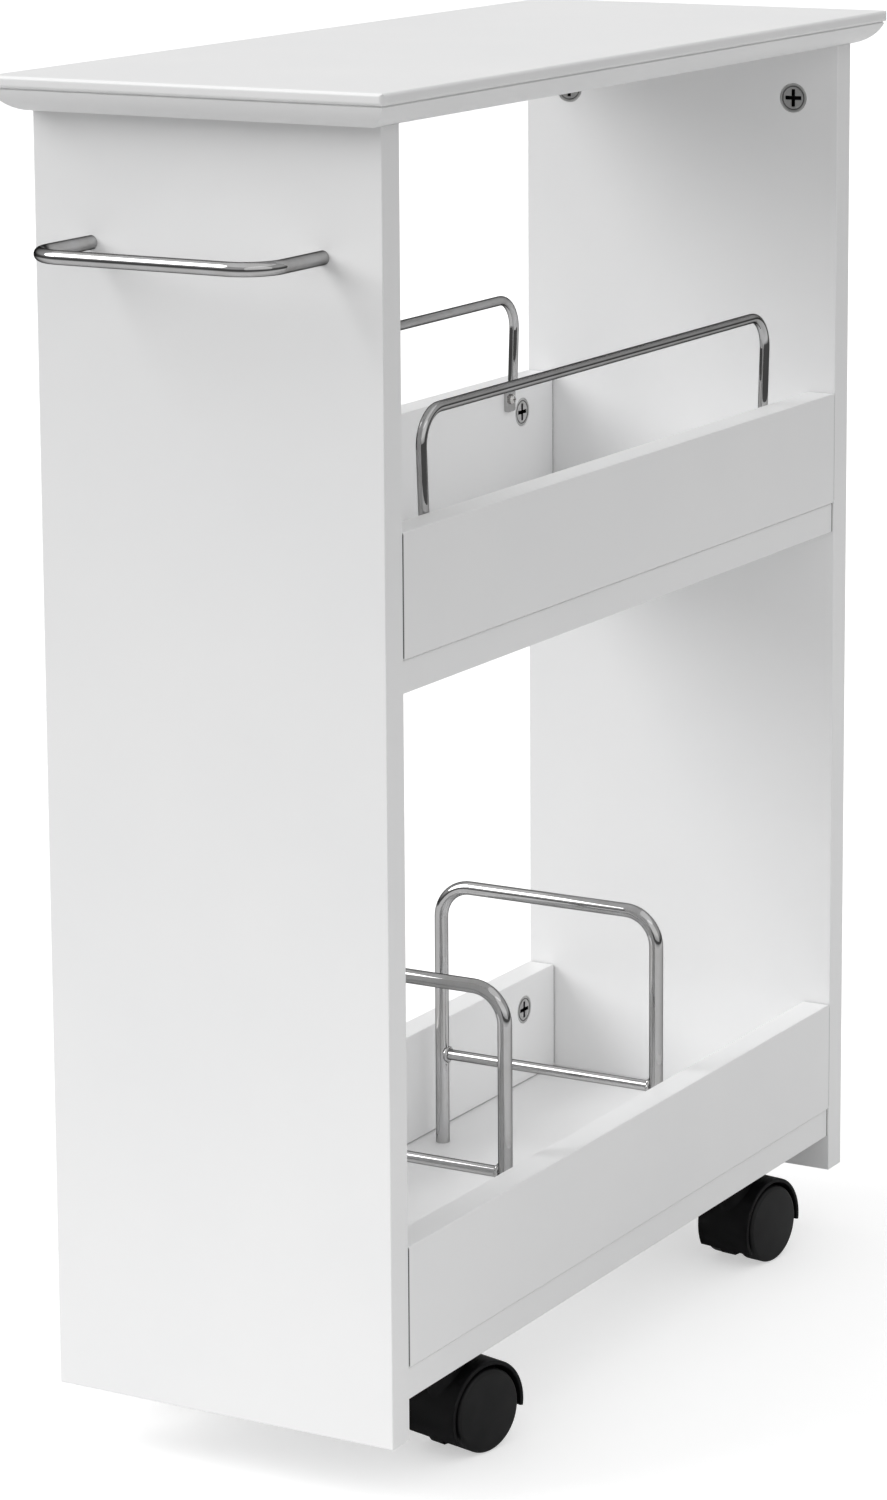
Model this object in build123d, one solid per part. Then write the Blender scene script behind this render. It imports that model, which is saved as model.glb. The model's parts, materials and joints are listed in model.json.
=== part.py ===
"""Slim rolling pantry cart: two end panels, a moulded top, two railed shelves and four swivel casters.

Millimetres. +Z is up, +X is the cart's right side, and the front end, with the towel bar, faces -Y.
The origin is on the floor under the middle of the whole cart, towel bar included.
"""

import os
from math import cos, radians, sin, sqrt

from build123d import *

# ---------------------------------------------------------------- driving dimensions

# boards
BOARD = 15.0  # thickness of the panels, shelves and rails
BODY_LENGTH = 472.0  # over the outer faces of the two end panels
BODY_WIDTH = 180.0  # of an end panel
PANEL_BOTTOM = 32.0  # height of the panels' lower edge above the floor
PANEL_TOP = 627.0  # where the top board rests
BOARD_EDGE = 0.6  # rounding of the painted edges

# top board
TOP_THICK = 16.0
TOP_OVERHANG_SIDE = 12.0
TOP_OVERHANG_END = 19.0
TOP_NOSE = 5.5  # height of the upper band of the moulded edge
TOP_NOSE_ROUND = 1.6
TOP_STEP = 1.3  # the lower moulding starts this far in from the band
TOP_GROOVE = 0.7  # the quirk between band and lower moulding
TOP_MOULD_RUN = 12.4  # where the lower moulding meets the underside
TOP_CORNER = 2.5  # plan rounding of the band's corners

# shelves and rails
SHELF_UNDERSIDES = {"lower": 50.5, "upper": 376.0}
SHELF_INSET = 1.2  # shelf edge behind the rail's outer face
RAIL_HEIGHT = 57.5
RAIL_CORNER = 2.0  # rounding of a rail's end corners
JOINT_GAP = 0.5  # open joint between a rail and the shelf below it

# towel bar
BAR_ROD = 6.5
BAR_SPACING = 120.0  # between the two posts
BAR_HEIGHT = 569.0
BAR_REACH = 51.0  # panel face to the bar's centre line
BAR_BEND = 17.0

# wire guards over the upper rails
GUARD_ROD = 5.0
GUARD_LENGTH = 350.0  # between the centre lines of the legs, at the top
GUARD_TOP = 494.0
GUARD_BEND = 16.0
GUARD_LEAN = 3.0  # how far each leg's foot stands in from its top
GUARD_FOOT = 445.5  # where the round leg ends and the flattened tab begins
TAB_BOTTOM = 434.0
TAB_WIDTH = 9.0
TAB_THICK = 1.8
TAB_CORNER = 1.5
TAB_SCREW = 440.5  # height of the screw in the tab

# wire dividers on the lower shelf
DIVIDER_PLACES = {"front_divider": 155.0, "rear_divider": 311.5}  # behind the front panel's outer face
DIVIDER_ROD = 7.0
DIVIDER_WIDTH = 124.0  # between the centre lines of the legs
DIVIDER_RISE = 137.5  # shelf to the centre line of the top bar
DIVIDER_BEND = 17.0
CROSSBAR_RISE = 47.5  # shelf to the centre line of the crossbar
CROSSBAR_ROD = 5.5
WELD_BEAD = 1.2

# cam fittings
CAM_RADIUS = 7.45
CAM_DEPTH = 12.3
CAM_POCKET_RADIUS = 7.55
CAM_POCKET_DEPTH = 12.5
CAM_MOUTH_END = 4.2  # the hollow for the bolt's head runs this far past the cam's middle
CAM_SETBACK = 34.0  # board end to cam centre, on the rails and shelves
TOP_CAM_SETBACK = 27.5  # panel top to cam centre
TOP_CAM_OFFSET = 65.0  # either side of the panel's middle
RAIL_CAM_DROP = 17.0  # rail's upper edge to cam centre
SHELF_CAM_OFFSET = 56.0
BOLT_SHANK_RADIUS = 2.5
BOLT_THREAD_RADIUS = 3.0
BOLT_COLLAR_RADIUS = 3.5
BOLT_BORE_RADIUS = 4.0
BOLT_THREAD_LENGTH = 10.0

# wooden dowels
DOWEL_RADIUS = 4.0
DOWEL_LENGTH = 30.0
DOWEL_IN_FACE = 10.0  # length held in the face-drilled board

# casters
STEM_OFFSET = 70.0  # swivel axis either side of the middle
FRONT_STEM = 82.0  # swivel axis behind the front panel's outer face
REAR_STEM = 87.0  # swivel axis before the rear panel's outer face
CASTER_YAW = {"front_right": 14.4, "rear_right": 8.6, "front_left": 9.0, "rear_left": 12.0}
TRAIL = 13.0  # swivel axis to axle
WHEEL_RADIUS = 20.0
WHEEL_INNER_FACE = 5.0  # from the caster's middle plane
WHEEL_OUTER_FACE = 16.0
WHEEL_CROWN = 0.8  # doming of the outer disc
WHEEL_EDGE = 2.0  # rounding between disc and tread
WHEEL_RIM = 3.0
HOOD_RADIUS = 24.0
HOOD_SHELL = 2.1
HOOD_WIDTH = 31.0
HOOD_LIP = 8.7  # height of the hood's front lip above the floor
HOOD_TAIL = 8.0  # the trailing end of the hood drops this many degrees below the axle
HOOD_EDGE = 0.5
WEB_THICK = 8.6
BOSS_RADIUS = 9.0
BOSS_TOP = 48.1
AXLE_RADIUS = 2.5
AXLE_HALF = 12.5
PIN_RADIUS = 3.0
RUNNING_CLEARANCE = 0.06
PLATE_SIZE = 30.0
PLATE_THICK = 2.0
PLATE_HOLE_OFFSET = 10.5

# ---------------------------------------------------------------- derived places

bar_outer = BAR_REACH + BAR_ROD / 2
front_y = -(BODY_LENGTH + TOP_OVERHANG_END - bar_outer) / 2  # front panel's outer face
rear_y = front_y + BODY_LENGTH
middle_y = (front_y + rear_y) / 2
half_width = BODY_WIDTH / 2
span = BODY_LENGTH - 2 * BOARD  # clear length between the panels
rail_inner_x = half_width - BOARD
SIDES = {"left": -1, "right": 1}
ENDS = {"front": 1, "rear": -1}  # direction from that panel towards the middle

parts = {}


def shelf_top(level):
    return SHELF_UNDERSIDES[level] + BOARD


def rail_top(level):
    return shelf_top(level) + RAIL_HEIGHT


def inner_face_y(end):
    return middle_y - ENDS[end] * span / 2


# ---------------------------------------------------------------- small shapes


def block(x0, x1, y0, y1, z0, z1):
    return Pos((x0 + x1) / 2, (y0 + y1) / 2, (z0 + z1) / 2) * Box(x1 - x0, y1 - y0, z1 - z0)


def rod(start, end, radius):
    """A round bar, or the drill for one, from start to end."""
    axis = Vector(*end) - Vector(*start)
    face = Plane(origin=start, z_dir=axis) * Circle(radius)
    return extrude(face, amount=axis.length)


def bent_rod(points, bend, diameter):
    """A round bar bent to one radius at each inner point."""
    path = FilletPolyline(*points, radius=bend)
    section = Plane(origin=path @ 0, z_dir=path % 0) * Circle(diameter / 2)
    return sweep(section, path=path)


def turned(points):
    """A solid turned about Z from (radius, height) points that start and end on the axis."""
    outline = Polyline(*[(radius, 0, height) for radius, height in points], close=True)
    return revolve(make_face(outline), Axis.Z)


def cross_recess(width, slot, depth):
    """The cross-shaped drive cut into a head whose face is at z = 0."""
    arm = Box(width, slot, 2 * depth)
    return arm + Rot(0, 0, 90) * arm


def pan_screw(shank_radius, length, head_radius, head_height, pointed=True):
    """A cross-recessed pan-head screw: the head's seat is at z = 0 and the shank runs down."""
    tip_radius, tip_length = (0.35 * shank_radius, 2 * shank_radius) if pointed else (shank_radius - 0.5, 0.5)
    body = turned([
        (0, -length), (tip_radius, -length), (shank_radius, -length + tip_length),
        (shank_radius, 0), (head_radius, 0), (head_radius, head_height * 0.45),
        (head_radius * 0.82, head_height * 0.85), (head_radius * 0.45, head_height), (0, head_height),
    ])
    drive = cross_recess(head_radius * 1.15, head_radius * 0.26, head_height * 0.7)
    return body - Pos(0, 0, head_height) * drive


def group(solids):
    return Compound(children=list(solids))


# ---------------------------------------------------------------- boards


def long_edges_rounded(board, axis):
    return fillet(board.edges().filter_by(axis), BOARD_EDGE)


def end_panel(end):
    """An end panel, its outer face away from the middle, with only the top edges left square."""
    y_out = inner_face_y(end) - ENDS[end] * BOARD
    low, high = sorted((inner_face_y(end), y_out))
    panel = block(-half_width, half_width, low, high, PANEL_BOTTOM, PANEL_TOP)
    uprights = panel.edges().filter_by(Axis.Z)
    bottom = panel.faces().sort_by(Axis.Z)[0].edges()
    return fillet(uprights + bottom, BOARD_EDGE)


def moulded_profile(half, height_axis):
    """The top board's cross-section, from edge to edge, half being its half width."""
    nose, rise = TOP_NOSE_ROUND, PANEL_TOP + TOP_THICK
    step, quirk = half - TOP_STEP, rise - TOP_NOSE - TOP_GROOVE

    def side(sign):
        def at(across, height):
            return (across * sign, 0, height) if height_axis == "x" else (0, across * sign, height)

        blend = nose * (1 - sqrt(0.5))
        top_round = ThreePointArc(
            at(half - nose, rise),
            at(half - blend, rise - blend),
            at(half, rise - nose),
        )
        band = Line(at(half, rise - nose), at(half, rise - TOP_NOSE + nose))
        low_round = ThreePointArc(
            at(half, rise - TOP_NOSE + nose),
            at(half - blend, rise - TOP_NOSE + blend),
            at(half - nose, rise - TOP_NOSE),
        )
        shoulder = Line(at(half - nose, rise - TOP_NOSE), at(step - TOP_GROOVE, rise - TOP_NOSE))
        groove = Polyline(
            at(step - TOP_GROOVE, rise - TOP_NOSE),
            at(step - TOP_GROOVE, quirk),
            at(step, quirk),
        )
        lower = ThreePointArc(
            at(step, quirk),
            at(half - 0.53 * TOP_MOULD_RUN, PANEL_TOP + 0.17 * TOP_THICK),
            at(half - TOP_MOULD_RUN, PANEL_TOP),
        )
        return [top_round, band, low_round, shoulder, groove, lower], at

    right, at_right = side(1)
    left, at_left = side(-1)
    closing = [
        Line(at_left(half - nose, rise), at_right(half - nose, rise)),
        Line(at_left(half - TOP_MOULD_RUN, PANEL_TOP), at_right(half - TOP_MOULD_RUN, PANEL_TOP)),
    ]
    return make_face(Curve() + right + left + closing)


def top_board():
    """One section run along the board meets the other run across it, so the moulding is mitred."""
    half_x = half_width + TOP_OVERHANG_SIDE
    half_y = BODY_LENGTH / 2 + TOP_OVERHANG_END
    along = extrude(moulded_profile(half_x, "x"), amount=half_y, dir=(0, 1, 0), both=True)
    across = extrude(moulded_profile(half_y, "y"), amount=half_x, dir=(1, 0, 0), both=True)
    outline = RectangleRounded(2 * half_x, 2 * half_y, TOP_CORNER)
    plan = Pos(0, 0, PANEL_TOP) * extrude(outline, amount=TOP_THICK)
    return Pos(0, middle_y, 0) * (along & across & plan)


def shelf(level):
    half = half_width - SHELF_INSET
    low = SHELF_UNDERSIDES[level]
    board = block(-half, half, inner_face_y("front"), inner_face_y("rear"), low, low + BOARD)
    return long_edges_rounded(board, Axis.Y)


def rail(level, side):
    x_in, x_out = SIDES[side] * rail_inner_x, SIDES[side] * half_width
    low, high = sorted((x_in, x_out))
    bottom = shelf_top(level) + JOINT_GAP
    board = block(low, high, inner_face_y("front"), inner_face_y("rear"), bottom, rail_top(level))
    board = fillet(board.edges().filter_by(Axis.X), RAIL_CORNER)
    return fillet(board.edges().group_by(Axis.X)[0] + board.edges().group_by(Axis.X)[-1], BOARD_EDGE)


# ---------------------------------------------------------------- knock-down fittings
# A fitting's own frame: the cam's slotted face looks along +Z at the origin, and the joint lies along +X.


def cam_lock():
    rim_outer, rim_inner, rim_depth = 6.3, 5.6, 0.5
    cam = fillet(Cylinder(CAM_RADIUS, CAM_DEPTH, align=(Align.CENTER, Align.CENTER, Align.MAX)).edges(), 0.4)
    groove = Cylinder(rim_outer, 2 * rim_depth) - Cylinder(rim_inner, 2 * rim_depth)
    drive = cross_recess(9.0, 2.0, 2.9) + groove
    mouth = rod((-CAM_MOUTH_END, 0, -BOARD / 2), (CAM_RADIUS + 1, 0, -BOARD / 2), BOLT_BORE_RADIUS)
    return cam - drive - mouth


def cam_bolt(setback):
    """Threaded into the mating board, with its head held inside the cam."""
    head, neck = 3.6, 1.6
    body = turned([
        (0, -head), (2.2, -head), (3.0, -head + 1.2), (3.0, -head + 2.6), (neck, -head + 3.4),
        (neck, head - 0.4), (BOLT_SHANK_RADIUS, head), (BOLT_SHANK_RADIUS, setback - 2.5),
        (BOLT_COLLAR_RADIUS, setback - 2.5), (BOLT_COLLAR_RADIUS, setback),
        (BOLT_THREAD_RADIUS, setback), (BOLT_THREAD_RADIUS, setback + BOLT_THREAD_LENGTH - 2),
        (1.2, setback + BOLT_THREAD_LENGTH), (0, setback + BOLT_THREAD_LENGTH),
    ])
    return Pos(0, 0, -BOARD / 2) * Rot(0, 90, 0) * body


def cam_cut(setback):
    """The pocket and the bolt's bore, in the board that carries the cam."""
    pocket = Cylinder(CAM_POCKET_RADIUS, CAM_POCKET_DEPTH, align=(Align.CENTER, Align.CENTER, Align.MAX))
    return pocket + rod((0, 0, -BOARD / 2), (setback, 0, -BOARD / 2), BOLT_BORE_RADIUS)


def thread_cut(setback):
    """The pilot hole in the board that takes the bolt's thread."""
    end = setback + BOLT_THREAD_LENGTH + 0.5
    return rod((setback, 0, -BOARD / 2), (end, 0, -BOARD / 2), BOLT_THREAD_RADIUS + 0.02)


def dowel(point, into):
    """A beech dowel across a joint at point; into is the unit direction into the face-drilled board."""
    chamfer_length = 1.0
    body = Cylinder(DOWEL_RADIUS, DOWEL_LENGTH, align=(Align.CENTER, Align.CENTER, Align.MAX))
    body = chamfer(body.edges(), chamfer_length)
    frame = Plane(origin=Vector(*point) + Vector(*into) * DOWEL_IN_FACE, z_dir=into)
    return frame.location * body


def dowel_cut(point, into):
    spare = 0.5
    start = Vector(*point) - Vector(*into) * (DOWEL_LENGTH - DOWEL_IN_FACE + spare)
    end = Vector(*point) + Vector(*into) * (DOWEL_IN_FACE + spare)
    return rod(start, end, DOWEL_RADIUS + 0.02)


class Joint:
    """Boards to be drilled, and the fittings that go into the holes."""

    def __init__(self, cam_board, mating_board):
        self.boards = (cam_board, mating_board)
        self.cams, self.bolts, self.dowels = [], [], []

    def add_cam(self, face_point, face_normal, towards, setback):
        place = Plane(origin=face_point, x_dir=towards, z_dir=face_normal).location
        parts[self.boards[0]] -= place * cam_cut(setback)
        parts[self.boards[1]] -= place * thread_cut(setback)
        self.cams.append(place * cam_lock())
        self.bolts.append(place * cam_bolt(setback))

    def add_dowel(self, point, into):
        cut = dowel_cut(point, into)
        for board in self.boards:
            parts[board] -= cut
        self.dowels.append(dowel(point, into))


def gather(prefix, joints):
    parts[prefix + "_cam_locks"] = group(cam for joint in joints for cam in joint.cams)
    parts[prefix + "_cam_bolts"] = group(bolt for joint in joints for bolt in joint.bolts)
    parts[prefix + "_wood_dowels"] = group(peg for joint in joints for peg in joint.dowels)


def fit_top():
    joints = []
    for end, inward in ENDS.items():
        joint = Joint(end + "_end_panel", "top_board")
        face = inner_face_y(end)
        mid = face - inward * BOARD / 2
        for sign in (-1, 1):
            at = (sign * TOP_CAM_OFFSET, face, PANEL_TOP - TOP_CAM_SETBACK)
            joint.add_cam(at, (0, inward, 0), (0, 0, 1), TOP_CAM_SETBACK)
            joint.add_dowel((sign * TOP_CAM_OFFSET / 2, mid, PANEL_TOP), (0, 0, 1))
        joints.append(joint)
    gather("top", joints)


def fit_shelves():
    joints = []
    for level, low in SHELF_UNDERSIDES.items():
        for end, inward in ENDS.items():
            joint = Joint(level + "_shelf", end + "_end_panel")
            face = inner_face_y(end)
            for sign in (-1, 1):
                at = (sign * SHELF_CAM_OFFSET, face + inward * CAM_SETBACK, low)
                joint.add_cam(at, (0, 0, -1), (0, -inward, 0), CAM_SETBACK)
                joint.add_dowel((sign * SHELF_CAM_OFFSET / 2, face, low + BOARD / 2), (0, -inward, 0))
            joints.append(joint)
    gather("shelf", joints)


def fit_rails():
    joints = []
    for level in SHELF_UNDERSIDES:
        for side, sign in SIDES.items():
            for end, inward in ENDS.items():
                joint = Joint(f"{level}_{side}_rail", end + "_end_panel")
                face = inner_face_y(end)
                high = rail_top(level)
                at = (sign * rail_inner_x, face + inward * CAM_SETBACK, high - RAIL_CAM_DROP)
                joint.add_cam(at, (-sign, 0, 0), (0, -inward, 0), CAM_SETBACK)
                peg = (sign * (rail_inner_x + BOARD / 2), face, shelf_top(level) + RAIL_CAM_DROP)
                joint.add_dowel(peg, (0, -inward, 0))
                joints.append(joint)
    gather("rail", joints)


# ---------------------------------------------------------------- bent wire


def fit_towel_bar():
    """A U of chromed rod, held by a screw and washer through the front panel into each post."""
    shank, head, head_height, length = 2.0, 4.2, 2.6, 27.0
    washer_radius, washer_thick = 5.0, 1.0
    post = BAR_SPACING / 2
    bar = bent_rod(
        [
            (-post, front_y, BAR_HEIGHT),
            (-post, front_y - BAR_REACH, BAR_HEIGHT),
            (post, front_y - BAR_REACH, BAR_HEIGHT),
            (post, front_y, BAR_HEIGHT),
        ],
        BAR_BEND,
        BAR_ROD,
    )
    inner = inner_face_y("front")
    screws, washers = [], []
    for sign in (-1, 1):
        x = sign * post
        tapped = rod((x, front_y - 13, BAR_HEIGHT), (x, front_y, BAR_HEIGHT), shank + 0.02)
        bar -= tapped
        parts["front_end_panel"] -= rod((x, front_y, BAR_HEIGHT), (x, inner, BAR_HEIGHT), shank + 0.25)
        seat = Plane(origin=(x, inner, BAR_HEIGHT), z_dir=(0, 1, 0)).location
        ring = Cylinder(washer_radius, washer_thick, align=(Align.CENTER, Align.CENTER, Align.MIN))
        ring -= Cylinder(shank + 0.15, 3 * washer_thick)
        washers.append(seat * ring)
        screw = pan_screw(shank, length, head, head_height, pointed=False)
        screws.append(seat * Pos(0, 0, washer_thick) * screw)
    parts["towel_bar"] = bar
    parts["towel_bar_screws"] = group(screws)
    parts["towel_bar_washers"] = group(washers)


def wire_guard(side):
    """A long staple of wire with flattened, drilled feet against the rail's inner face."""
    sign = SIDES[side]
    x = sign * (rail_inner_x - GUARD_ROD / 2 - 0.02)
    half = GUARD_LENGTH / 2
    foot = half - GUARD_LEAN
    wire = bent_rod(
        [
            (x, middle_y - foot, GUARD_FOOT),
            (x, middle_y - half, GUARD_TOP),
            (x, middle_y + half, GUARD_TOP),
            (x, middle_y + foot, GUARD_FOOT),
        ],
        GUARD_BEND,
        GUARD_ROD,
    )
    tab_top = GUARD_FOOT + TAB_CORNER
    hole_radius = 1.7
    for y in (middle_y - foot, middle_y + foot):
        middle = (sign * rail_inner_x, y, (TAB_BOTTOM + tab_top) / 2)
        face = Plane(origin=middle, x_dir=(0, 1, 0), z_dir=(-sign, 0, 0))
        tab = extrude(face * RectangleRounded(TAB_WIDTH, tab_top - TAB_BOTTOM, TAB_CORNER), amount=TAB_THICK)
        hole_start = (sign * (rail_inner_x + 1), y, TAB_SCREW)
        hole_end = (sign * (rail_inner_x - GUARD_ROD / 2), y, TAB_SCREW)
        wire = wire + tab - rod(hole_start, hole_end, hole_radius)
    return wire


def fit_guards():
    shank, head, head_height, length = 1.5, 2.7, 2.0, 13.0
    foot = GUARD_LENGTH / 2 - GUARD_LEAN
    screws = []
    for side, sign in SIDES.items():
        parts[side + "_wire_guard"] = wire_guard(side)
        for y in (middle_y - foot, middle_y + foot):
            tab_face = sign * (rail_inner_x - TAB_THICK)
            seat = Plane(origin=(tab_face, y, TAB_SCREW), z_dir=(-sign, 0, 0)).location
            screws.append(seat * pan_screw(shank, length, head, head_height))
            start = (sign * (rail_inner_x - 1), y, TAB_SCREW)
            end = (sign * (rail_inner_x - TAB_THICK + length + 0.3), y, TAB_SCREW)
            parts[f"upper_{side}_rail"] -= rod(start, end, shank + 0.02)
    parts["guard_screws"] = group(screws)


def fit_dividers():
    """Two arches of rod with a welded crossbar, screwed from under the lower shelf."""
    shank, head, head_height, length = 2.0, 4.2, 2.4, 26.0
    post = DIVIDER_WIDTH / 2
    low = shelf_top("lower")
    screws = []
    for name, setback in DIVIDER_PLACES.items():
        y = front_y + setback
        arch = bent_rod(
            [(-post, y, low), (-post, y, low + DIVIDER_RISE), (post, y, low + DIVIDER_RISE), (post, y, low)],
            DIVIDER_BEND,
            DIVIDER_ROD,
        )
        bar_z = low + CROSSBAR_RISE
        arch += rod((-post, y, bar_z), (post, y, bar_z), CROSSBAR_ROD / 2)
        for sign in (-1, 1):
            x = sign * post
            inner = x - sign * DIVIDER_ROD / 2
            bead_start = (inner + sign * 0.6, y, bar_z)
            bead_end = (inner - sign * WELD_BEAD, y, bar_z)
            arch += rod(bead_start, bead_end, CROSSBAR_ROD / 2 + 0.45)
            arch -= rod((x, y, low), (x, y, low + 13), shank + 0.02)
            under = SHELF_UNDERSIDES["lower"]
            parts["lower_shelf"] -= rod((x, y, under), (x, y, low), shank + 0.25)
            seat = Plane(origin=(x, y, under), z_dir=(0, 0, -1)).location
            screws.append(seat * pan_screw(shank, length, head, head_height, pointed=False))
        parts[name] = arch
    parts["divider_screws"] = group(screws)


# ---------------------------------------------------------------- casters
# A caster's own frame: the swivel axis is Z, the floor is z = 0, and the axle lies along X at y = TRAIL.


def caster_wheel(sign):
    """A plastic cup wheel: domed disc, rim and hub, open towards the middle of the caster."""
    face, inner = WHEEL_OUTER_FACE, WHEEL_INNER_FACE
    hub, disc, bore_end, edge = 5.2, 2.6, AXLE_HALF + 0.3, WHEEL_EDGE
    bore = AXLE_RADIUS + RUNNING_CLEARANCE
    rim_inner = WHEEL_RADIUS - WHEEL_RIM
    blend = edge * (1 - sqrt(0.5))
    crown = ThreePointArc(
        (face + WHEEL_CROWN, 0),
        (face + 0.75 * WHEEL_CROWN, (WHEEL_RADIUS - edge) / 2),
        (face, WHEEL_RADIUS - edge),
    )
    corner = ThreePointArc(
        (face, WHEEL_RADIUS - edge), (face - blend, WHEEL_RADIUS - blend), (face - edge, WHEEL_RADIUS)
    )
    inside = Polyline(
        (face - edge, WHEEL_RADIUS),
        (inner + 0.8, WHEEL_RADIUS),
        (inner, WHEEL_RADIUS - 0.8),
        (inner, rim_inner),
        (face - disc, rim_inner),
        (face - disc, hub),
        (inner, hub),
        (inner, bore),
        (bore_end, bore),
        (bore_end, 0),
        (face + WHEEL_CROWN, 0),
    )
    wheel = revolve(make_face(Curve() + [crown, corner, inside]), Axis.X)
    turn = 0 if sign > 0 else 180
    return Pos(0, TRAIL, WHEEL_RADIUS) * Rot(0, 0, turn) * wheel


def caster_hood():
    """The hood wraps over both wheels; a web between them carries the axle and the swivel pin."""
    side_view = Plane(origin=(0, TRAIL, WHEEL_RADIUS), x_dir=(0, 1, 0), z_dir=(1, 0, 0))
    reach = HOOD_RADIUS + 5
    ring = Circle(HOOD_RADIUS) - Circle(HOOD_RADIUS - HOOD_SHELL)
    below_rear = Rot(0, 0, -HOOD_TAIL) * Pos(reach / 2, -reach / 2) * Rectangle(reach, reach)
    lip = HOOD_LIP - WHEEL_RADIUS
    below_front = Pos(-reach / 2, lip - reach / 2) * Rectangle(reach, reach)
    shell = extrude(side_view * (ring - below_rear - below_front), amount=HOOD_WIDTH / 2, both=True)
    shell = fillet(shell.edges().filter_by(GeomType.CIRCLE), HOOD_EDGE)
    disc = Circle(HOOD_RADIUS - HOOD_SHELL / 2) - Pos(0, lip - 3 - reach / 2) * Rectangle(2 * reach, reach)
    web = extrude(side_view * disc, amount=WEB_THICK / 2, both=True)
    boss = rod((0, 0, WHEEL_RADIUS), (0, 0, BOSS_TOP), BOSS_RADIUS)
    well = extrude(side_view * Circle(HOOD_RADIUS - HOOD_SHELL), amount=HOOD_WIDTH, both=True)
    hood = shell + (boss - well) + web
    pin_bore = rod((0, 0, BOSS_TOP + 1), (0, 0, kingpin_bottom() - 0.5), PIN_RADIUS + RUNNING_CLEARANCE)
    axle_hole = rod((-WEB_THICK, TRAIL, WHEEL_RADIUS), (WEB_THICK, TRAIL, WHEEL_RADIUS), AXLE_RADIUS)
    return hood - pin_bore - axle_hole


def kingpin_bottom():
    return WHEEL_RADIUS + 4


def caster_plate():
    """The square steel plate under the shelf, drilled for four screws and the swivel pin."""
    high = SHELF_UNDERSIDES["lower"]
    flat = RectangleRounded(PLATE_SIZE, PLATE_SIZE, 4) - Circle(PIN_RADIUS)
    for x, y in plate_holes():
        flat -= Pos(x, y) * Circle(2.0)
    return Pos(0, 0, high - PLATE_THICK) * extrude(flat, amount=PLATE_THICK)


def plate_holes():
    return [(sx * PLATE_HOLE_OFFSET, sy * PLATE_HOLE_OFFSET) for sx in (-1, 1) for sy in (-1, 1)]


def caster_place(corner):
    """The swivel point on the floor and the yaw of one corner's caster, as a location."""
    end, side = corner.split("_")
    y = front_y + FRONT_STEM if end == "front" else rear_y - REAR_STEM
    return Pos(SIDES[side] * STEM_OFFSET, y, 0)


def fit_casters():
    shank, head, head_height, length = 1.75, 3.2, 1.6, 13.0
    high = SHELF_UNDERSIDES["lower"]
    screws = []
    for corner, yaw in CASTER_YAW.items():
        fixed = caster_place(corner)
        turned_place = fixed * Rot(0, 0, -yaw)
        parts[corner + "_caster_plate"] = fixed * caster_plate()
        parts[corner + "_caster_kingpin"] = fixed * rod((0, 0, kingpin_bottom()), (0, 0, high), PIN_RADIUS)
        parts[corner + "_caster_hood"] = turned_place * caster_hood()
        axle = rod((-AXLE_HALF, TRAIL, WHEEL_RADIUS), (AXLE_HALF, TRAIL, WHEEL_RADIUS), AXLE_RADIUS)
        parts[corner + "_caster_axle"] = turned_place * axle
        for side, sign in SIDES.items():
            parts[f"{corner}_caster_{side}_wheel"] = turned_place * caster_wheel(sign)
        for x, y in plate_holes():
            seat = fixed * Plane(origin=(x, y, high - PLATE_THICK), z_dir=(0, 0, -1)).location
            screws.append(seat * pan_screw(shank, length, head, head_height))
            pilot = rod((x, y, high), (x, y, high + length), shank + 0.02)
            parts["lower_shelf"] -= fixed * pilot
    parts["caster_screws"] = group(screws)


def print_joint_axes():
    """The swivel and wheel axes, for whoever writes the joints down."""
    for corner, yaw in CASTER_YAW.items():
        stem = caster_place(corner).position
        angle = radians(yaw)
        axle = (stem.X + TRAIL * sin(angle), stem.Y + TRAIL * cos(angle), WHEEL_RADIUS)
        direction = (cos(angle), -sin(angle), 0)
        print(corner, "stem", tuple(round(v, 4) for v in stem), "axle", axle, "along", direction)


# ---------------------------------------------------------------- the cart


def build_cart():
    parts["top_board"] = top_board()
    for end in ENDS:
        parts[end + "_end_panel"] = end_panel(end)
    for level in SHELF_UNDERSIDES:
        parts[level + "_shelf"] = shelf(level)
        for side in SIDES:
            parts[f"{level}_{side}_rail"] = rail(level, side)
    fit_top()
    fit_shelves()
    fit_rails()
    fit_towel_bar()
    fit_guards()
    fit_dividers()
    fit_casters()


build_cart()
os.makedirs("parts", exist_ok=True)
for node, shape in parts.items():
    export_step(shape, f"parts/{node}.step")
print_joint_axes()
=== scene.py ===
"""The rolling pantry cart's looks, built round its CAD frame. Metres, +Z up, the front end faces -Y."""

import json
import math

import bpy
from mathutils import Matrix, Vector


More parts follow.
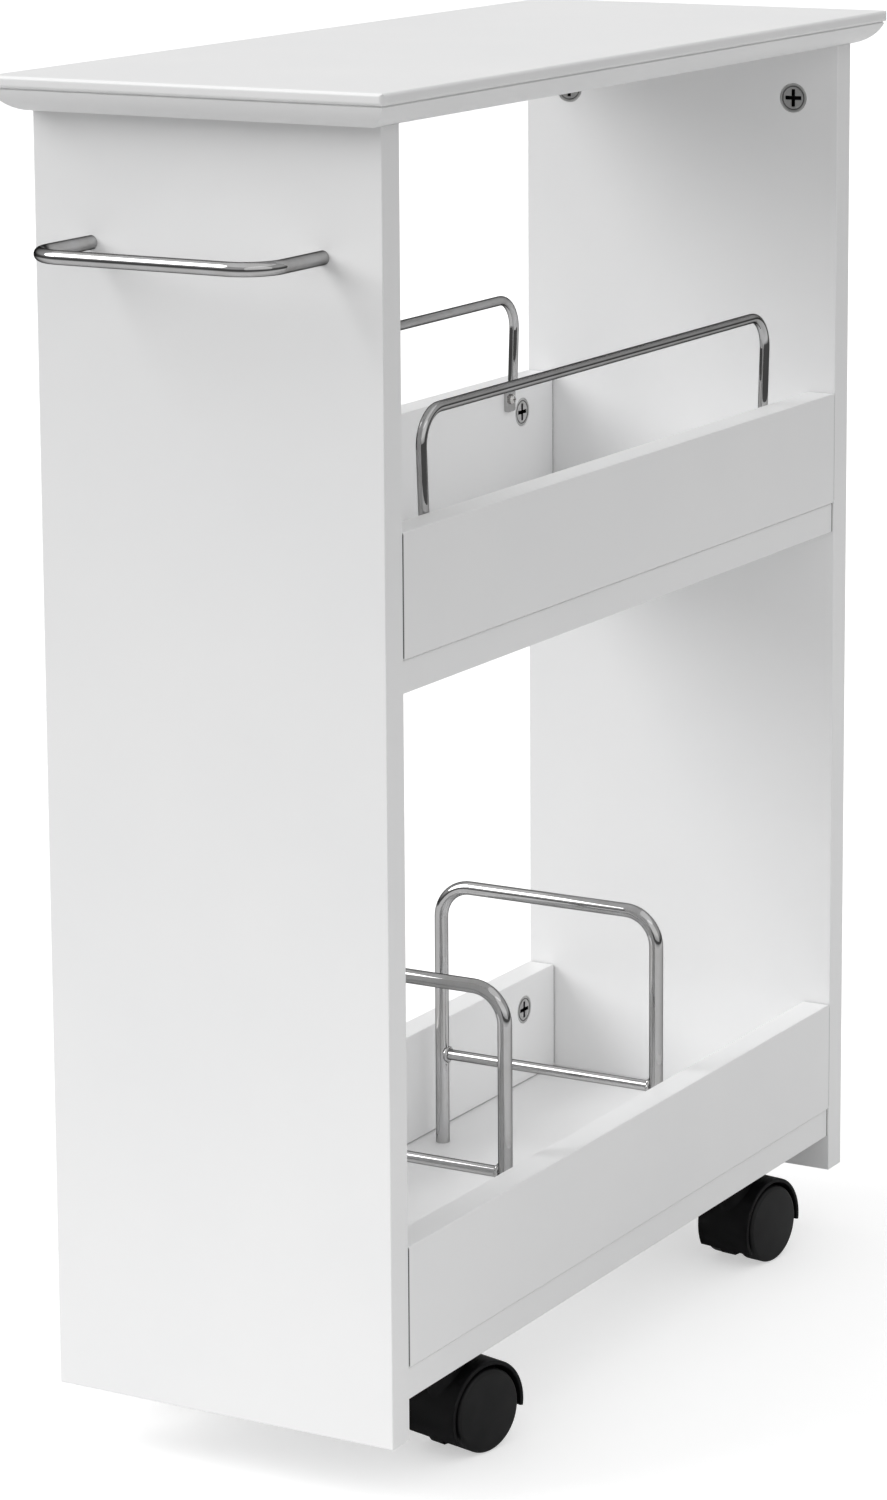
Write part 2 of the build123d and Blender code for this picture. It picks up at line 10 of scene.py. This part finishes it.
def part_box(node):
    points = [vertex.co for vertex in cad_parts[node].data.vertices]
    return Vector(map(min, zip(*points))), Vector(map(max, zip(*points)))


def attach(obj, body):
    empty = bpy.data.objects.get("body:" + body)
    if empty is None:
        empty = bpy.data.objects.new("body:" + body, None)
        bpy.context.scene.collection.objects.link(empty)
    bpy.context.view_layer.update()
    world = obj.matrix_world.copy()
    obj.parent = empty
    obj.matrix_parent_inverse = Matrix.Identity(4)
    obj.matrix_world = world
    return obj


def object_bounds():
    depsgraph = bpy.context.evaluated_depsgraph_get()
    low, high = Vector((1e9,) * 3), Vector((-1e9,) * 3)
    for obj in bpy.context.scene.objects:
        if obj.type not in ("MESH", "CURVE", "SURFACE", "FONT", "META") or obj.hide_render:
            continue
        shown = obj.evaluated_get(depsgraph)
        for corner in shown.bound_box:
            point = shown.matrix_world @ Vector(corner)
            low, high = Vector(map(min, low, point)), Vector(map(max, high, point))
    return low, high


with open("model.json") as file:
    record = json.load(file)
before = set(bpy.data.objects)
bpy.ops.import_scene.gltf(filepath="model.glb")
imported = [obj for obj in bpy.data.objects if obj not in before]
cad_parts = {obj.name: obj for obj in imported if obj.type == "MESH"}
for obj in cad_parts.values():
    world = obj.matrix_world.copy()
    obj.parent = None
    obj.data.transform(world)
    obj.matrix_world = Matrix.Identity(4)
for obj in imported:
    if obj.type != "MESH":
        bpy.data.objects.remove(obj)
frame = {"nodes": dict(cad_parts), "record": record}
nodes = frame["nodes"]
cad_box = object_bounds()

# ---------------------------------------------------------------- camera

CAMERA_AZIMUTH = math.radians(29.8)  # round from the front end towards the right side
CAMERA_TILT = math.radians(-10.46)
CAMERA_ROLL = math.radians(-0.37)
CAMERA_LENS = 114.9  # mm, on a sensor 36 mm along its long side
CAMERA_SHIFT = -0.15
CAMERA_FROM_CENTRE = Vector((1.124, -1.973, 0.5087))  # from the middle of the cart's box
CAMERA_CLIP = (0.05, 100.0)

# ---------------------------------------------------------------- lights

KEY_FROM = Vector((-0.68, -0.50, 0.55))  # a broad light, up at the front left
KEY_STRENGTH = 1.7
KEY_ANGLE = math.radians(40)
TOP_FROM = Vector((0.08, -0.08, 1.0))  # nearly straight overhead
TOP_STRENGTH = 0.7
TOP_ANGLE = math.radians(90)
FILL_FROM = Vector((0.85, -0.50, 0.25))  # a weak fill on the right side
FILL_STRENGTH = 0.45
FILL_ANGLE = math.radians(70)
LIGHT_DISTANCE = 3.0  # only where a light's marker stands: all three shine like suns

# The tent round the set, as grey levels. It is dim near the horizon and brightest a little way up.
SKY_HORIZON = 0.04
SKY_LOW = 0.54
SKY_HIGH = 0.42
SKY_LOW_HEIGHT = 0.25  # where the tent has SKY_LOW, from 0 at the horizon to 1 overhead
BACKDROP = 1.0  # what the camera sees behind the cart

# ---------------------------------------------------------------- floor

# The camera sees a pale floor with a glow of its own, which keeps the shadows on it faint.
FLOOR_SIZE = 60.0
FLOOR_DARK = (0.72, 0.72, 0.72)
FLOOR_LIGHT = (0.74, 0.74, 0.74)
FLOOR_GLOW = 0.49
FLOOR_CLOUD = 0.6
FLOOR_ROUGH = (0.55, 0.65)
FLOOR_GLOSS = 0.1

# The cart gets less light back from the floor, and least from far off, as if dark flags stood round it.
# Most of the dark streaks on the plated wire come from this.
BOUNCE_NEAR = (0.80, 0.80, 0.80)
BOUNCE_FAR = (0.10, 0.10, 0.10)
FLAGS_LEAN = (0.5, -0.87, 0.0)  # towards the front right, where the flags stand nearer by its length
FLAGS_FROM = 1.8  # from the middle of the flags' ring to where the floor starts to darken
FLAGS_TO = 2.6

# ---------------------------------------------------------------- finishes

NOISE_LOW = 0.3  # nearly all of a noise's values lie between these two
NOISE_HIGH = 0.7

PAINT_DARK = (0.895, 0.897, 0.90)
PAINT_LIGHT = (0.915, 0.915, 0.915)
PAINT_ROUGH = (0.36, 0.46)
PAINT_ROUGH_TOP = (0.34, 0.44)  # the top board is a touch glossier
PAINT_GLOSS = 0.45
PAINT_CLOUD = 0.09  # faint blotches
PAINT_PEEL = 0.0022  # orange peel
PAINT_PEEL_DEPTH = 0.00006
PAINT_WAVE = 0.035  # the roller's slow waves
PAINT_WAVE_DEPTH = 0.0004
JOINT_SHADOW_WIDTH = 0.0010  # painted shadow: the dark hairline where rails and shelves butt the end panels
JOINT_SHADOW = 0.06

METAL_PATCH = 0.012  # patches of uneven plating
METAL_RIPPLE = 0.006
METAL_RIPPLE_DEPTH = 0.0001
RECESS_START = 0.00015  # how far below a cam's front surface the painted shade in its drive starts to turn black
RECESS_FULL = 0.0007
RECESS_SHADOW = 0.012

NYLON_CLOUD = 0.01

BEECH_DARK = (0.46, 0.30, 0.17)
BEECH_LIGHT = (0.66, 0.48, 0.30)
BEECH_ROUGH = (0.5, 0.7)
BEECH_FLECK = 0.0015
BEECH_FLECK_DEPTH = 0.0001
BEECH_STRETCH = (1.0, 0.15, 1.0)  # the flecks run along Y

# ---------------------------------------------------------------- welds

CROSSBAR_RISE = 0.0475  # from the lower shelf to the crossbar's centre line
DIVIDER_ROD = 0.0070
WELD_RADIUS = 0.0031
WELD_THICK = 0.0011
WELD_AROUND = 40
WELD_ACROSS = 14
WELD_SWELLS = ((3, 0.22, 1.0), (7, 0.16, 2.3))  # how many in a turn, how large, how far the seed turns them
RIGHT_WELD_SEED = 2


# ---------------------------------------------------------------- node helpers


def grey(level):
    return (level, level, level, 1.0)


def new_material(name):
    mat = bpy.data.materials.new(name)
    mat.use_nodes = True
    tree = mat.node_tree
    shader = tree.nodes["Principled BSDF"]
    return mat, tree, shader


def object_coordinates(tree, stretch=(1.0, 1.0, 1.0)):
    """Object space, which is the cart's own frame in metres, so that patterns keep their real size."""
    source = tree.nodes.new("ShaderNodeTexCoord")
    mapping = tree.nodes.new("ShaderNodeMapping")
    mapping.inputs["Scale"].default_value = stretch
    tree.links.new(source.outputs["Object"], mapping.inputs["Vector"])
    return mapping.outputs["Vector"]


def noise(tree, vector, size, detail=3.0, roughness=0.5):
    """Cloudy noise whose blotches are about size metres across."""
    node = tree.nodes.new("ShaderNodeTexNoise")
    node.inputs["Scale"].default_value = 1.0 / size
    node.inputs["Detail"].default_value = detail
    node.inputs["Roughness"].default_value = roughness
    tree.links.new(vector, node.inputs["Vector"])
    return node.outputs["Fac"]


def spread(tree, value, low, high, from_low=NOISE_LOW, from_high=NOISE_HIGH):
    """value, which mostly lies from from_low to from_high, spread over low to high."""
    node = tree.nodes.new("ShaderNodeMapRange")
    node.inputs["From Min"].default_value = from_low
    node.inputs["From Max"].default_value = from_high
    node.inputs["To Min"].default_value = low
    node.inputs["To Max"].default_value = high
    tree.links.new(value, node.inputs["Value"])
    return node.outputs["Result"]


def two_tone(tree, value, dark, light):
    """A colour that goes from dark to light as value goes over a noise's range."""
    ramp = tree.nodes.new("ShaderNodeValToRGB")
    stops = ramp.color_ramp.elements
    stops[0].position = NOISE_LOW
    stops[0].color = (*dark, 1.0)
    stops[1].position = NOISE_HIGH
    stops[1].color = (*light, 1.0)
    tree.links.new(value, ramp.inputs["Fac"])
    return ramp.outputs["Color"]


def bump(tree, height, depth, strength=1.0, under=None):
    """A bump of real depth, in metres, laid over another bump if one is given."""
    node = tree.nodes.new("ShaderNodeBump")
    node.inputs["Strength"].default_value = strength
    node.inputs["Distance"].default_value = depth
    tree.links.new(height, node.inputs["Height"])
    if under is not None:
        tree.links.new(under, node.inputs["Normal"])
    return node.outputs["Normal"]


def paint_shadow_beyond(tree, colour, axis, middle, start, full, shade):
    """colour, going over to a grey painted shade as the distance from middle along axis goes from start to
    full.
    """
    source = tree.nodes.new("ShaderNodeTexCoord")
    split = tree.nodes.new("ShaderNodeSeparateXYZ")
    tree.links.new(source.outputs["Object"], split.inputs["Vector"])
    along = tree.nodes.new("ShaderNodeMath")
    along.operation = "SUBTRACT"
    along.inputs[1].default_value = middle
    tree.links.new(split.outputs[axis], along.inputs[0])
    away = tree.nodes.new("ShaderNodeMath")
    away.operation = "ABSOLUTE"
    tree.links.new(along.outputs["Value"], away.inputs[0])
    mix = tree.nodes.new("ShaderNodeMix")
    mix.data_type = "RGBA"
    mix.inputs["B"].default_value = grey(shade)
    tree.links.new(spread(tree, away.outputs["Value"], 0.0, 1.0, start, full), mix.inputs["Factor"])
    tree.links.new(colour, mix.inputs["A"])
    return mix.outputs["Result"]


def mix_shaders(tree, factor, first, second):
    """first where factor is 0 and second where it is 1."""
    node = tree.nodes.new("ShaderNodeMixShader")
    for source, socket in zip((factor, first, second), node.inputs):
        tree.links.new(source, socket)
    return node.outputs["Shader"]


def seen_by_camera(tree):
    """1 on the camera's own rays, and 0 on those that light the cart or reflect in it."""
    return tree.nodes.new("ShaderNodeLightPath").outputs["Is Camera Ray"]


# ---------------------------------------------------------------- materials


def painted_board(name, rough, joint=None):
    """Satin lacquer on fibreboard: faint cloudiness, orange peel and a little roller texture."""
    mat, tree, shader = new_material(name)
    vector = object_coordinates(tree)
    cloud = noise(tree, vector, PAINT_CLOUD, 4.0)
    peel = noise(tree, vector, PAINT_PEEL, 2.0)
    wave = noise(tree, vector, PAINT_WAVE, 2.0)
    colour = two_tone(tree, cloud, PAINT_DARK, PAINT_LIGHT)
    # where a joint is given, painted shadow darkens a hairline at the board's ends, where it butts an end
    # panel
    if joint is not None:
        middle, reach = joint
        start, full = reach - JOINT_SHADOW_WIDTH, reach - JOINT_SHADOW_WIDTH / 3
        colour = paint_shadow_beyond(tree, colour, "Y", middle, start, full, JOINT_SHADOW)
    tree.links.new(colour, shader.inputs["Base Color"])
    tree.links.new(spread(tree, peel, *rough), shader.inputs["Roughness"])
    shader.inputs["Specular IOR Level"].default_value = PAINT_GLOSS
    normal = bump(tree, wave, PAINT_WAVE_DEPTH, 0.35)
    normal = bump(tree, peel, PAINT_PEEL_DEPTH, 0.5, normal)
    tree.links.new(normal, shader.inputs["Normal"])
    return mat


def plated_metal(name, dark, light, rough, grain, grain_depth, rim=1.0, recess_shadow=None):
    """Metal with uneven plating, polish marks and a faint ripple, and where given, painted shade that turns
    a recess near black.
    """
    mat, tree, shader = new_material(name)
    vector = object_coordinates(tree)
    patch = noise(tree, vector, METAL_PATCH, 4.0)
    fine = noise(tree, vector, grain, 3.0, 0.6)
    colour = two_tone(tree, patch, dark, light)
    # painted shade: the cam's drive recess darkens to near black below its front plane
    if recess_shadow is not None:
        axis, middle, reach = recess_shadow
        start, full = reach + RECESS_START, reach + RECESS_FULL
        colour = paint_shadow_beyond(tree, colour, axis, middle, start, full, RECESS_SHADOW)
    tree.links.new(colour, shader.inputs["Base Color"])
    tree.links.new(spread(tree, fine, *rough), shader.inputs["Roughness"])
    shader.inputs["Metallic"].default_value = 1.0
    shader.inputs["Specular Tint"].default_value = grey(rim)
    ripple = noise(tree, vector, METAL_RIPPLE, 2.0)
    normal = bump(tree, ripple, METAL_RIPPLE_DEPTH, 0.25)
    normal = bump(tree, fine, grain_depth, 0.5, normal)
    tree.links.new(normal, shader.inputs["Normal"])
    return mat


def moulded_nylon(name, dark, light, rough, grain, grain_depth, gloss):
    """Black nylon with the fine spark-eroded grain of its mould."""
    mat, tree, shader = new_material(name)
    vector = object_coordinates(tree)
    cloud = noise(tree, vector, NYLON_CLOUD, 4.0)
    cells = noise(tree, vector, grain, 3.0, 0.65)
    tree.links.new(two_tone(tree, cloud, dark, light), shader.inputs["Base Color"])
    tree.links.new(spread(tree, cells, *rough), shader.inputs["Roughness"])
    shader.inputs["Specular IOR Level"].default_value = gloss
    tree.links.new(bump(tree, cells, grain_depth, 0.6), shader.inputs["Normal"])
    return mat


def beech():
    """Bare beech with short flecks."""
    mat, tree, shader = new_material("beech")
    vector = object_coordinates(tree, BEECH_STRETCH)
    flecks = noise(tree, vector, BEECH_FLECK, 5.0, 0.6)
    tree.links.new(two_tone(tree, flecks, BEECH_DARK, BEECH_LIGHT), shader.inputs["Base Color"])
    tree.links.new(spread(tree, flecks, *BEECH_ROUGH), shader.inputs["Roughness"])
    tree.links.new(bump(tree, flecks, BEECH_FLECK_DEPTH, 0.5), shader.inputs["Normal"])
    return mat


def chrome():
    """Polished chrome that darkens towards its outline."""
    dark, light = (0.47, 0.465, 0.46), (0.53, 0.53, 0.535)
    return plated_metal("chrome", dark, light, (0.02, 0.06), grain=0.0006, grain_depth=0.000002, rim=0.05)


def nickel():
    dark, light = (0.60, 0.59, 0.575), (0.70, 0.69, 0.68)
    return plated_metal("nickel", dark, light, (0.16, 0.28), grain=0.0004, grain_depth=0.00001)


def die_cast_zinc(name, recess_shadow=None):
    dark, light = (0.50, 0.50, 0.495), (0.66, 0.66, 0.655)
    return plated_metal(name, dark, light, (0.28, 0.42), grain=0.0005, grain_depth=0.00003, recess_shadow=recess_shadow)


def zinc_plate():
    dark, light = (0.52, 0.53, 0.55), (0.64, 0.65, 0.66)
    return plated_metal("zinc_plate", dark, light, (0.24, 0.36), grain=0.0008, grain_depth=0.00001)


def hood_nylon():
    dark, light = (0.0035, 0.0035, 0.004), (0.006, 0.006, 0.0065)
    return moulded_nylon("hood_nylon", dark, light, (0.42, 0.58), 0.0005, grain_depth=0.00004, gloss=0.14)


def wheel_nylon():
    dark, light = (0.007, 0.007, 0.0075), (0.011, 0.011, 0.0115)
    return moulded_nylon("wheel_nylon", dark, light, (0.34, 0.48), 0.0004, grain_depth=0.00002, gloss=0.2)


def make_materials():
    """Every finish, by the record's slot names and the names that special_finish gives."""
    rail_low, rail_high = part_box("upper_right_rail")
    joint = ((rail_low.y + rail_high.y) / 2, (rail_high.y - rail_low.y) / 2)
    return {
        "paint_with_joint_shadow": painted_board("paint_with_joint_shadow", PAINT_ROUGH, joint),
        "rail_cam_zinc_recess_shadow": die_cast_zinc("rail_cam_zinc_recess_shadow", ("X", 0.0, rail_low.x)),
        "top_cam_zinc_recess_shadow": die_cast_zinc("top_cam_zinc_recess_shadow", ("Y", *joint)),
        "white_paint": painted_board("white_paint", PAINT_ROUGH),
        "white_paint_top": painted_board("white_paint_top", PAINT_ROUGH_TOP),
        "chrome_wire": chrome(),
        "nickel_screw": nickel(),
        "cam_zinc": die_cast_zinc("die_cast_zinc"),
        "zinc_plated_steel": zinc_plate(),
        "caster_hood_plastic": hood_nylon(),
        "caster_wheel_plastic": wheel_nylon(),
        "beech_dowel": beech(),
    }


def special_finish(name):
    """The finish of a node that needs more than its slot's, or None."""
    # rails and shelves take the paint with a painted shadow hairline at their joints
    if name.endswith(("_rail", "_shelf")):
        return "paint_with_joint_shadow"
    # the cam locks take zinc with painted shade in their drive recesses
    return {"rail_cam_locks": "rail_cam_zinc_recess_shadow", "top_cam_locks": "top_cam_zinc_recess_shadow"}.get(name)


def dress_cad_nodes(materials):
    slots = {entry["node"]: entry["material_slot"] for entry in frame["record"]["subparts"]}
    for name, obj in nodes.items():
        obj.data.materials.clear()
        obj.data.materials.append(materials[special_finish(name) or slots[name]])


# ---------------------------------------------------------------- welds on the dividers


def weld_lump(name, centre, seed, material):
    """An uneven ring of weld round the crossbar, where it meets a divider's leg."""
    vertices, faces = [], []
    for i in range(WELD_AROUND):
        turn = 2 * math.pi * i / WELD_AROUND
        swell = sum((size * math.sin(count * turn + share * seed) for count, size, share in WELD_SWELLS), 1)
        thick = WELD_THICK * swell
        for j in range(WELD_ACROSS):
            lean = 2 * math.pi * j / WELD_ACROSS
            out = WELD_RADIUS + thick * math.cos(lean)
            x = thick * math.sin(lean)
            vertices.append(centre + Vector((x, out * math.cos(turn), out * math.sin(turn))))
            after_i, after_j = (i + 1) % WELD_AROUND, (j + 1) % WELD_ACROSS
            faces.append((
                i * WELD_ACROSS + j, i * WELD_ACROSS + after_j,
                after_i * WELD_ACROSS + after_j, after_i * WELD_ACROSS + j,
            ))
    mesh = bpy.data.meshes.new(name)
    mesh.from_pydata(vertices, [], faces)
    mesh.shade_smooth()
    mesh.materials.append(material)
    weld = bpy.data.objects.new(name, mesh)
    bpy.context.scene.collection.objects.link(weld)
    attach(weld, "cart")


def make_welds(material):
    bar_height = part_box("lower_shelf")[1].z + CROSSBAR_RISE
    for divider in ("front_divider", "rear_divider"):
        low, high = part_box(divider)
        middle = (low.y + high.y) / 2
        left = Vector((low.x + DIVIDER_ROD, middle, bar_height))
        right = Vector((high.x - DIVIDER_ROD, middle, bar_height))
        weld_lump(divider + "_left_weld", left, low.y, material)
        weld_lump(divider + "_right_weld", right, RIGHT_WELD_SEED + high.y, material)


# ---------------------------------------------------------------- studio


def pale_sweep(tree, shader, vector):
    """The floor as the camera sees it: nearly white, faintly clouded and glowing a little."""
    cloud = noise(tree, vector, FLOOR_CLOUD, 3.0)
    tree.links.new(two_tone(tree, cloud, FLOOR_DARK, FLOOR_LIGHT), shader.inputs["Base Color"])
    tree.links.new(spread(tree, cloud, *FLOOR_ROUGH), shader.inputs["Roughness"])
    shader.inputs["Specular IOR Level"].default_value = FLOOR_GLOSS
    shader.inputs["Emission Color"].default_value = grey(1.0)
    shader.inputs["Emission Strength"].default_value = FLOOR_GLOW
    return shader.outputs["BSDF"]


def flagged_bounce(tree, vector):
    """The floor as the cart sees it: pale close by, and darker beyond the flags."""
    leaning = tree.nodes.new("ShaderNodeVectorMath")
    leaning.operation = "ADD"
    leaning.inputs[1].default_value = FLAGS_LEAN
    tree.links.new(vector, leaning.inputs[0])
    distance = tree.nodes.new("ShaderNodeVectorMath")
    distance.operation = "LENGTH"
    tree.links.new(leaning.outputs["Vector"], distance.inputs[0])
    outward = spread(tree, distance.outputs["Value"], NOISE_LOW, NOISE_HIGH, FLAGS_FROM, FLAGS_TO)
    bounce = tree.nodes.new("ShaderNodeBsdfDiffuse")
    tree.links.new(two_tone(tree, outward, BOUNCE_NEAR, BOUNCE_FAR), bounce.inputs["Color"])
    return bounce.outputs["BSDF"]


def floor_material():
    """Pale to the camera, flagged to the cart, and clear from below, so that the underside shows."""
    mat, tree, shader = new_material("studio_floor")
    vector = object_coordinates(tree)
    sweep = pale_sweep(tree, shader, vector)
    from_above = mix_shaders(tree, seen_by_camera(tree), flagged_bounce(tree, vector), sweep)
    below = tree.nodes.new("ShaderNodeNewGeometry").outputs["Backfacing"]
    clear = tree.nodes.new("ShaderNodeBsdfTransparent").outputs["BSDF"]
    surface = mix_shaders(tree, below, from_above, clear)
    tree.links.new(surface, tree.nodes["Material Output"].inputs["Surface"])
    return mat


def make_floor():
    half = FLOOR_SIZE / 2
    mesh = bpy.data.meshes.new("studio_floor")
    corners = [(-half, -half, 0), (half, -half, 0), (half, half, 0), (-half, half, 0)]
    mesh.from_pydata(corners, [], [(0, 1, 2, 3)])
    floor = bpy.data.objects.new("studio_floor", mesh)
    floor.location.z = cad_box[0].z
    mesh.materials.append(floor_material())
    bpy.context.scene.collection.objects.link(floor)


def soft_light(name, comes_from, angle, strength):
    data = bpy.data.lights.new(name, "SUN")
    data.angle = angle
    data.energy = strength
    light = bpy.data.objects.new(name, data)
    light.location = comes_from * LIGHT_DISTANCE
    light.rotation_euler = comes_from.to_track_quat("Z", "Y").to_euler()
    bpy.context.scene.collection.objects.link(light)


def make_lights():
    soft_light("key", KEY_FROM, KEY_ANGLE, KEY_STRENGTH)
    soft_light("top", TOP_FROM, TOP_ANGLE, TOP_STRENGTH)
    soft_light("fill", FILL_FROM, FILL_ANGLE, FILL_STRENGTH)


def tent(tree):
    """The light that the world sends. Its dim horizon adds to the dark streaks on the plated wire."""
    direction = tree.nodes.new("ShaderNodeTexCoord")
    split = tree.nodes.new("ShaderNodeSeparateXYZ")
    ramp = tree.nodes.new("ShaderNodeValToRGB")
    tree.links.new(direction.outputs["Generated"], split.inputs["Vector"])
    tree.links.new(split.outputs["Z"], ramp.inputs["Fac"])
    stops = ramp.color_ramp.elements
    stops[0].color = grey(SKY_HORIZON)
    stops[1].color = grey(SKY_HIGH)
    stops.new(SKY_LOW_HEIGHT).color = grey(SKY_LOW)
    background = tree.nodes["Background"]
    tree.links.new(ramp.outputs["Color"], background.inputs["Color"])
    return background.outputs["Background"]


def make_world():
    """The tent lights the cart, and the camera sees a plain backdrop in its place."""
    world = bpy.data.worlds.new("studio")
    world.use_nodes = True
    tree = world.node_tree
    backdrop = tree.nodes.new("ShaderNodeBackground")
    backdrop.inputs["Color"].default_value = grey(BACKDROP)
    surface = mix_shaders(tree, seen_by_camera(tree), tent(tree), backdrop.outputs["Background"])
    tree.links.new(surface, tree.nodes["World Output"].inputs["Surface"])
    bpy.context.scene.world = world


def make_camera():
    data = bpy.data.cameras.new("camera")
    data.lens = CAMERA_LENS
    data.shift_y = CAMERA_SHIFT
    data.clip_start, data.clip_end = CAMERA_CLIP
    camera = bpy.data.objects.new("camera", data)
    centre = (cad_box[0] + cad_box[1]) / 2
    turn = Matrix.Rotation(CAMERA_AZIMUTH, 4, "Z")
    turn = turn @ Matrix.Rotation(math.pi / 2 + CAMERA_TILT, 4, "X")
    turn = turn @ Matrix.Rotation(CAMERA_ROLL, 4, "Z")
    camera.matrix_world = Matrix.Translation(centre + CAMERA_FROM_CENTRE) @ turn
    bpy.context.scene.collection.objects.link(camera)
    bpy.context.scene.camera = camera


# ---------------------------------------------------------------- the scene

materials = make_materials()
dress_cad_nodes(materials)
make_welds(materials["chrome_wire"])
make_floor()
make_world()
make_lights()
make_camera()
bpy.context.scene.view_settings.view_transform = "Standard"
